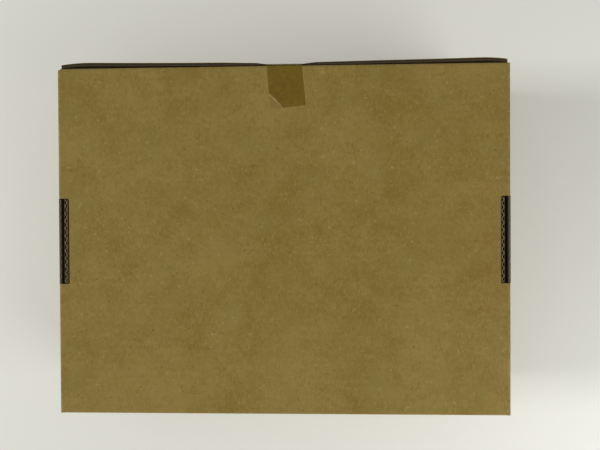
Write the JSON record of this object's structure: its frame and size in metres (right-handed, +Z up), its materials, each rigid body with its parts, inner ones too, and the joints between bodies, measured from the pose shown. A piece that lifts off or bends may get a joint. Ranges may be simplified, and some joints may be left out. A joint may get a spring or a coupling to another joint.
{
  "type": "cryogenic storage box",
  "caption": "Flat rectangular storage box of folded kraft corrugated board with tabs locked in side slots, a taped closing flap and a cell divider inside.",
  "frame": {"origin": "on the surface that the box lies on, under the middle of the tray's outside", "axes": "+Z up to the slotted panel, +X along the box's length, +Y towards the closing flap"},
  "size_m": [0.21, 0.1646, 0.0551],
  "materials": {
    "kraft_board": "matt kraft liner on corrugated board with 3.5 mm flutes",
    "divider_board": "smooth matt chipboard",
    "tape": "clear packing tape"
  },
  "bodies": {
    "floor": {"floor_panel": "kraft_board", "long_strip_1": "divider_board", "long_strip_2": "divider_board", "long_strip_3": "divider_board", "long_strip_4": "divider_board", "long_strip_5": "divider_board", "long_strip_6": "divider_board", "long_strip_7": "divider_board", "long_strip_8": "divider_board", "long_strip_9": "divider_board", "long_strip_10": "divider_board", "cross_strip_1": "divider_board", "cross_strip_2": "divider_board", "cross_strip_3": "divider_board", "cross_strip_4": "divider_board", "cross_strip_5": "divider_board", "cross_strip_6": "divider_board", "cross_strip_7": "divider_board", "cross_strip_8": "divider_board", "cross_strip_9": "divider_board", "cross_strip_10": "divider_board", "cross_strip_11": "divider_board", "cross_strip_12": "divider_board", "cross_strip_13": "divider_board"},
    "cover": {"cover_panel": "kraft_board", "front_wall": "kraft_board", "back_wall": "kraft_board", "left_outer_wall": "kraft_board", "left_roll_strip": "kraft_board", "left_inner_wall": "kraft_board", "back_left_corner_flap": "kraft_board", "front_left_corner_flap": "kraft_board", "right_outer_wall": "kraft_board", "right_roll_strip": "kraft_board", "right_inner_wall": "kraft_board", "back_right_corner_flap": "kraft_board", "front_right_corner_flap": "kraft_board", "tape_on_cover": "tape"},
    "closing_flap": {"closing_flap": "kraft_board", "tape_on_flap": "tape"}
  },
  "joints": [
    {"name": "cover_hinge", "type": "hinge", "parent": "floor", "child": "cover", "pos_m": [0, -0.0795, 0.0015], "axis": [1, 0, 0], "range_deg": [0, 90]},
    {"name": "flap_hinge", "type": "hinge", "parent": "floor", "child": "closing_flap", "pos_m": [0, 0.082, 0.0015], "axis": [-1, 0, 0], "range_deg": [0, 90]}
  ]
}
